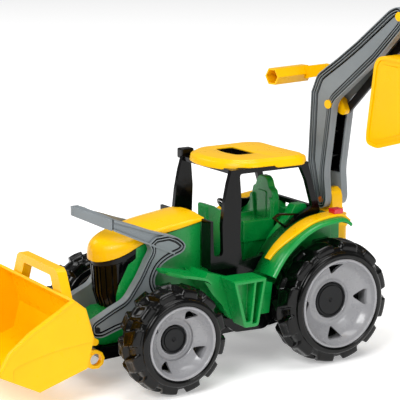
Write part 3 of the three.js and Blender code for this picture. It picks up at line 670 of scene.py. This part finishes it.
def fender_trim(x_sign, suffix):
    """Yellow cap strip that starts narrow ahead of the wheel and widens over it."""
    line = offset_line(line_2d(FENDER_LINE[1:], 8), -0.3)
    loops = []
    for i, at in enumerate(line):
        along = (line[min(i + 1, len(line) - 1)] - line[max(i - 1, 0)]).normalized()
        up = Vector((-along.y, along.x))
        outer = TRIM_POINT + TRIM_GROWTH * smoothstep(0, 0.35, i / len(line))
        section = [(TRIM_IN, 0), (TRIM_IN, 2.6), (TRIM_IN + 1.2, 3.4), (outer - 1.2, 3.4), (outer, 2.2),
                   (outer, 0)]
        loops.append([place(x_sign * x, *(at + up * lift)) for x, lift in section])
    name = f"fender_trim_{suffix}"
    piece(name + "_strip", loft(loops), "chassis", "yellow_plastic", [name])


# ---------- loader arms ----------
ARM_OUTLINE = [
    (-252, 217), (-238, 211, 5), (-225, 200, 8), (-229, 189, 8), (-256, 181, 12), (-272, 170, 12),
    (-281, 149, 10), (-264, 122, 12), (-259, 98, 14), (-280, 90, 12), (-333, 89, 12), (-366, 79, 6),
    (-383, 82, 9), (-385, 102, 9), (-350, 119), (-326, 129, 8), (-304, 159, 10), (-291, 183), (-282, 197, 6),
    (-288, 207), (-276, 216),
]
ARM_IN, ARM_OUT, ARM_DEPTH = 48, 62, 6
ARM_RIBS = [(0, 1.5, 0), (4.4, 5.7, 0.6), (8.8, 0, 2.2)]
LOADER_PIVOT, BUCKET_PIVOT = (-273, 106), (-373, 91)
HANDLE_HALF, HANDLE_EDGE = 6.3, 3
HANDLE_STATIONS = [(55, -244, 186, 214), (55, -281, 203, 226), (53.5, -305, 215, 235), (42, -336, 230, 246)]


def loader_arm(x_sign, suffix):
    """Side arm moulded with an outer rim, a channel and a raised inner panel."""
    line = resample(rounded(ARM_OUTLINE, 5))
    floor = ARM_OUT - ARM_DEPTH
    pivots = [round_hole(LOADER_PIVOT, 6.4), round_hole(BUCKET_PIVOT, 5.4)]
    channel = ribbed(line, ARM_IN, ARM_OUT, side(x_sign), ARM_RIBS, floor, pivots)
    name = f"loader_arm_{suffix}"
    piece(name + "_channel", merge(channel, handle_bar(x_sign)), "loader", "grey_plastic", [name], bevel=0.5)
    # Black sheet on the channel floor between the ribs: painted shade for the deep channel, over grey
    # plastic.
    groove_shade = band(line, 1.2, 9.1, floor - 0.3, floor + 2.6, side(x_sign))
    piece(name + "_groove", groove_shade, "loader", "black_plastic")


def handle_bar(x_sign):
    """Upright slab, recessed on one side, through the handle's stations of (x, y, low, high)."""
    loops = []
    plan = [Vector((x, y)) for x, y, _, _ in HANDLE_STATIONS]
    for i, (x, y, low, high) in enumerate(HANDLE_STATIONS):
        along = (plan[min(i + 1, len(plan) - 1)] - plan[max(i - 1, 0)]).normalized()
        across = Vector((along.y, -along.x)) * HANDLE_HALF
        bottom, top = low + HANDLE_EDGE, high - HANDLE_EDGE
        corners = [(-1, low), (1, low), (1, high), (-1, high), (-1, top), (-0.4, top), (-0.4, bottom),
                   (-1, bottom)]
        loops.append([place(x_sign * (x + s * across.x), y + s * across.y, z) for s, z in corners])
    return loft(loops)


# ---------- digging arm ----------
BOOM_OUTLINE = [
    (13, 225, 6), (9, 270, 10), (24, 383, 10), (109, 456), (164, 514, 14), (152, 540, 16), (134, 534, 8),
    (70, 481), (34, 454), (-9, 424, 8), (-21, 396), (-23, 343), (-26, 286), (-13, 225, 6), (-8, 212, 8),
    (8, 212, 8),
]
BOOM_BORES = [((0, 225), 5.4), ((14, 379), 7.4), ((151, 524), 7.4)]
BEAM_IN, BEAM_OUT, BEAM_DEPTH = 12.3, 26.3, 8
BEAM_RIBS = [(0, 1.3, 0), (4.3, 5.4, 0.3), (8.2, 9.3, 0.6), (12.4, 0, 2.6)]
# Outline of a black sheet on the inner face of each boom beam: painted shade in the gap between the beams.
SHADE_LINING = [(8, 266), (7, 275), (19, 362), (-14, 366), (-17, 343), (-20, 286), (-19, 266)]


def boom_beam(sign, suffix):
    """Boom side moulded with a rim, two channels and a middle rib that follow its outline."""
    line = resample(rounded(BOOM_OUTLINE, 5))
    floor = BEAM_OUT - BEAM_DEPTH
    holes = [round_hole(centre, radius) for centre, radius in BOOM_BORES]
    beam = ribbed(line, sign * BEAM_IN, sign * BEAM_OUT, arm_side, BEAM_RIBS, sign * floor, holes)
    name = f"boom_beam_{suffix}"
    piece(name + "_channel", beam, "boom", "grey_plastic", [name], bevel=0.4)
    # Black sheet on the channel floor between the ribs: painted shade for the deep channel, over grey
    # plastic.
    groove_shade = band(line, 1.0, 12.7, sign * (floor - 0.3), sign * (floor + 2.8), arm_side)
    piece(name + "_groove", groove_shade, "boom", "black_plastic")
    # Black sheet on the beam's inner face: painted shade for the shadowed gap between the two grey beams.
    shade_lining = prism([Vector(at) for at in SHADE_LINING], sign * (BEAM_IN - 1.1), sign * (BEAM_IN + 0.1), arm_side)
    piece(f"boom_lining_{suffix}", shade_lining, "boom", "black_plastic", bevel=0.3)


# ---------- cab ----------
SEAT_BACK = [
    (-30, 178), (-30, 240, 6), (-26, 255, 4), (-19, 258, 3), (-14, 270, 4), (-7, 274.5, 3),
    (7, 274.5, 3), (14, 270, 4), (19, 258, 3), (26, 255, 4), (30, 240, 6), (30, 178),
]
SEAT_CUSHION = [
    (-30, 180), (-30, 213, 3), (-24, 214, 3), (-19, 208, 4),
    (19, 208, 4), (24, 214, 3), (30, 213, 3), (30, 180),
]
SEAT_BASE = [(-25, 138.4), (-27, 181), (27, 181), (25, 138.4)]
SEAT_PAD = [(-13, 210, 4), (-13, 252, 5), (13, 252, 5), (13, 210, 4)]
BOLSTER = [(29.5, 206), (29.5, 244, 6), (21, 244, 4), (16, 206)]
GRAB_LOOP = [(-77, 221.5, 2), (-66, 228.5, 2), (-28, 224.5, 2), (-52, 203, 3)]


def seat():
    """Bucket seat: notched backrest with two bolsters, dished cushion and a tapered base."""
    back = prism(rounded(SEAT_BACK), -50, -38, facing)
    mirrored = [[(s * x, *rest) for x, *rest in BOLSTER] for s in (-1, 1)]
    bolsters = [prism(rounded(line), -54, -48, facing) for line in mirrored]
    pad = prism(rounded(SEAT_PAD), -51.4, -48, facing)
    cushion = prism(rounded(SEAT_CUSHION), -104, -39, facing)
    base = prism([Vector(at) for at in SEAT_BASE], -100, -42, facing)
    whole = merge(back, *bolsters, pad, cushion, base)
    piece("seat_shell", whole, "chassis", "green_plastic", ["seat"], bevel=1.6)


def grab_loops():
    """Black three-cornered loop low in each doorway."""
    line = resample(rounded(GRAB_LOOP))
    for x_sign, suffix in SIDES:
        loop = band(line, 0, 3, 65.5, 69.5, side(x_sign))
        piece(f"grab_loop_{suffix}", loop, "chassis", "black_plastic", bevel=0.9)


# ---------- buckets ----------
BUCKET_HALF = 118
BUCKET_PANEL = [
    (-441, 158), (-423, 143, 3), (-411, 101, 6), (-412.4, 96), (-435, 94.5), (-458, 93), (-478, 90),
    (-503, 85), (-528, 79, 4), (-533, 75, 2), (-534, 59), (-557.5, 70.8), (-548, 80, 3), (-536, 99, 6),
    (-506, 122), (-461, 147, 6),
]
BUCKET_LIP = [(-440, 160.5), (-462.5, 147.5), (-508, 122.5), (-538.5, 99), (-550.5, 80), (-562, 71.5)]
DIG_HALF = 48
DIG_CHEEK = [
    (144, 467, 4), (180, 464, 8), (206, 448, 10), (222, 412, 10), (214, 374, 8), (180, 341, 6),
    (134, 327, 8), (112, 332, 10), (113, 352), (126, 456, 10), (134, 465, 6),
]


def front_bucket_side(x_sign, suffix):
    """Raised upper side panel over a crease, and the rolled lip along the cutting side."""
    panel = prism(rounded(BUCKET_PANEL), BUCKET_HALF - SINK, BUCKET_HALF + 1.3, side(x_sign))
    piece(f"front_bucket_panel_{suffix}", panel, "front_bucket", "yellow_plastic", bevel=0.6)
    line = [Vector(at) for at in BUCKET_LIP]
    inner = [Vector((y + 2.2, z - 4.4)) for y, z in BUCKET_LIP]
    lip = prism([*line, *reversed(inner)], BUCKET_HALF - 5, BUCKET_HALF + 2.2, side(x_sign))
    piece(f"front_bucket_lip_{suffix}", lip, "front_bucket", "yellow_plastic", bevel=1.2)


def backhoe_bucket_side(sign, suffix):
    """Rolled border round the cheek of the digging bucket, with a raised field inside it."""
    line = resample(rounded(DIG_CHEEK))
    face = sign * DIG_HALF
    border = band(line, 0, 5, face - sign * SINK, face + sign * 2.4, arm_side)
    field = band(line, 13, 0, face - sign * SINK, face + sign * 1.3, arm_side)
    name = f"backhoe_bucket_border_{suffix}"
    piece(name, merge(border, field), "backhoe_bucket", "yellow_plastic", bevel=0.6)


# ---------- CAD nodes that keep their shape ----------
EDGE_RADIUS = 0.6
NODE_RADII = {
    "cab_frame": 2.8, "front_bucket": 1.4, "body_shell": 1.2, "backhoe_bucket": 1.2, "swing_post": 1.2,
    "step_left": 1.2, "step_right": 1.2, "side_mirror": 2.5, "backhoe_lever": 1.0,
}


def finish_nodes():
    """Paints every CAD node by its slot and rounds the edges of those that stay in view."""
    slots = {part["node"]: part["material_slot"] for part in frame["record"]["subparts"]}
    for name, obj in frame["nodes"].items():
        obj.data.materials.clear()
        obj.data.materials.append(PAINT[slots[name]])
        obj.data.polygons.foreach_set("use_smooth", [True] * len(obj.data.polygons))
        if not obj.hide_render:
            soften(obj, NODE_RADII.get(name, EDGE_RADIUS))


# ---------- studio ----------
CAMERA_AZIMUTH = math.radians(58.16)
CAMERA_ELEVATION = math.radians(11.85)
CAMERA_DISTANCE = 2.3754
CAMERA_AIM = (0, -163.19, 247.93)
CAMERA_SENSOR, CAMERA_LENS = 36, 141.46
LAMPS = [  # place, size and power, in metres and watts: key, rim, fill and top
    ((4.5, -7.2, 6.9), 4.5, 640), ((8.4, 1.8, 3.6), 2.7, 130), ((-7.2, -4.8, 6.0), 3.6, 150),
    ((0.6, 0.9, 8.4), 5.4, 420),
]
LAMP_AIM = Vector((0, 0, 0.2))
FLOOR_REACH = 12
WHITE = (1, 1, 1, 1)


def stand_camera():
    flat = math.cos(CAMERA_ELEVATION)
    back = Vector((math.sin(CAMERA_AZIMUTH) * flat, -math.cos(CAMERA_AZIMUTH) * flat,
                   math.sin(CAMERA_ELEVATION)))
    camera = bpy.data.objects.new("camera", bpy.data.cameras.new("camera"))
    camera.location = place(*CAMERA_AIM) + back * CAMERA_DISTANCE
    camera.rotation_euler = (-back).to_track_quat("-Z", "Y").to_euler()
    camera.data.sensor_width = CAMERA_SENSOR
    camera.data.lens = CAMERA_LENS
    bpy.context.scene.collection.objects.link(camera)
    bpy.context.scene.camera = camera


def hang_lamps():
    for i, (where, size, power) in enumerate(LAMPS):
        lamp = bpy.data.objects.new(f"softbox_{i}", bpy.data.lights.new(f"softbox_{i}", "AREA"))
        lamp.data.size = size
        lamp.data.energy = power
        lamp.location = where
        lamp.rotation_euler = (LAMP_AIM - Vector(where)).to_track_quat("-Z", "Y").to_euler()
        bpy.context.scene.collection.objects.link(lamp)


def light_world():
    """White to the camera and dimmer to everything that it lights."""
    world = bpy.data.worlds.new("studio")
    world.use_nodes = True
    tree = world.node_tree
    backdrop = tree.nodes["Background"]
    backdrop.inputs["Color"].default_value = WHITE
    rays = make_node(tree, "LightPath")
    level = make_node(tree, "MapRange", To_Min=0.24, To_Max=1.0)
    tree.links.new(rays.outputs["Is Camera Ray"], level.inputs["Value"])
    tree.links.new(level.outputs["Result"], backdrop.inputs["Strength"])
    bpy.context.scene.world = world


def paper():
    """Matt white paper that glows a little, so that the floor fades into the backdrop."""
    material = bpy.data.materials.new("paper")
    material.use_nodes = True
    tree = material.node_tree
    shader = tree.nodes["Principled BSDF"]
    grain = make_node(tree, "TexNoise", Scale=120.0, Detail=3.0)
    fibre = make_node(tree, "Bump", Strength=0.05, Distance=0.001)
    tree.links.new(grain.outputs["Fac"], fibre.inputs["Height"])
    tree.links.new(fibre.outputs["Normal"], shader.inputs["Normal"])
    shader.inputs["Base Color"].default_value = (0.92, 0.92, 0.92, 1)
    shader.inputs["Roughness"].default_value = 0.8
    shader.inputs["Emission Color"].default_value = WHITE
    shader.inputs["Emission Strength"].default_value = 0.34
    return material


def lay_floor():
    bm = bmesh.new()
    corners = [(-1, -1), (1, -1), (1, 1), (-1, 1)]
    bm.faces.new([bm.verts.new((x * FLOOR_REACH, y * FLOOR_REACH, 0)) for x, y in corners])
    mesh = bpy.data.meshes.new("floor")
    bm.to_mesh(mesh)
    bm.free()
    floor = bpy.data.objects.new("floor", mesh)
    mesh.materials.append(paper())
    bpy.context.scene.collection.objects.link(floor)


def studio():
    stand_camera()
    hang_lamps()
    light_world()
    lay_floor()
    bpy.context.scene.view_settings.view_transform = "Standard"


# ---------- everything in place ----------
def both_sides():
    for x_sign, suffix in SIDES:
        front_mudguard(x_sign, suffix)
        mudguard(x_sign, suffix)
        fender_trim(x_sign, suffix)
        loader_arm(x_sign, suffix)
        front_bucket_side(x_sign, suffix)
        backhoe_bucket_side(-x_sign, suffix)


studio()
wheels()
hood()
roof()
both_sides()
seat()
grab_loops()
boom_beam(-1, "left")
boom_beam(1, "right")
finish_nodes()
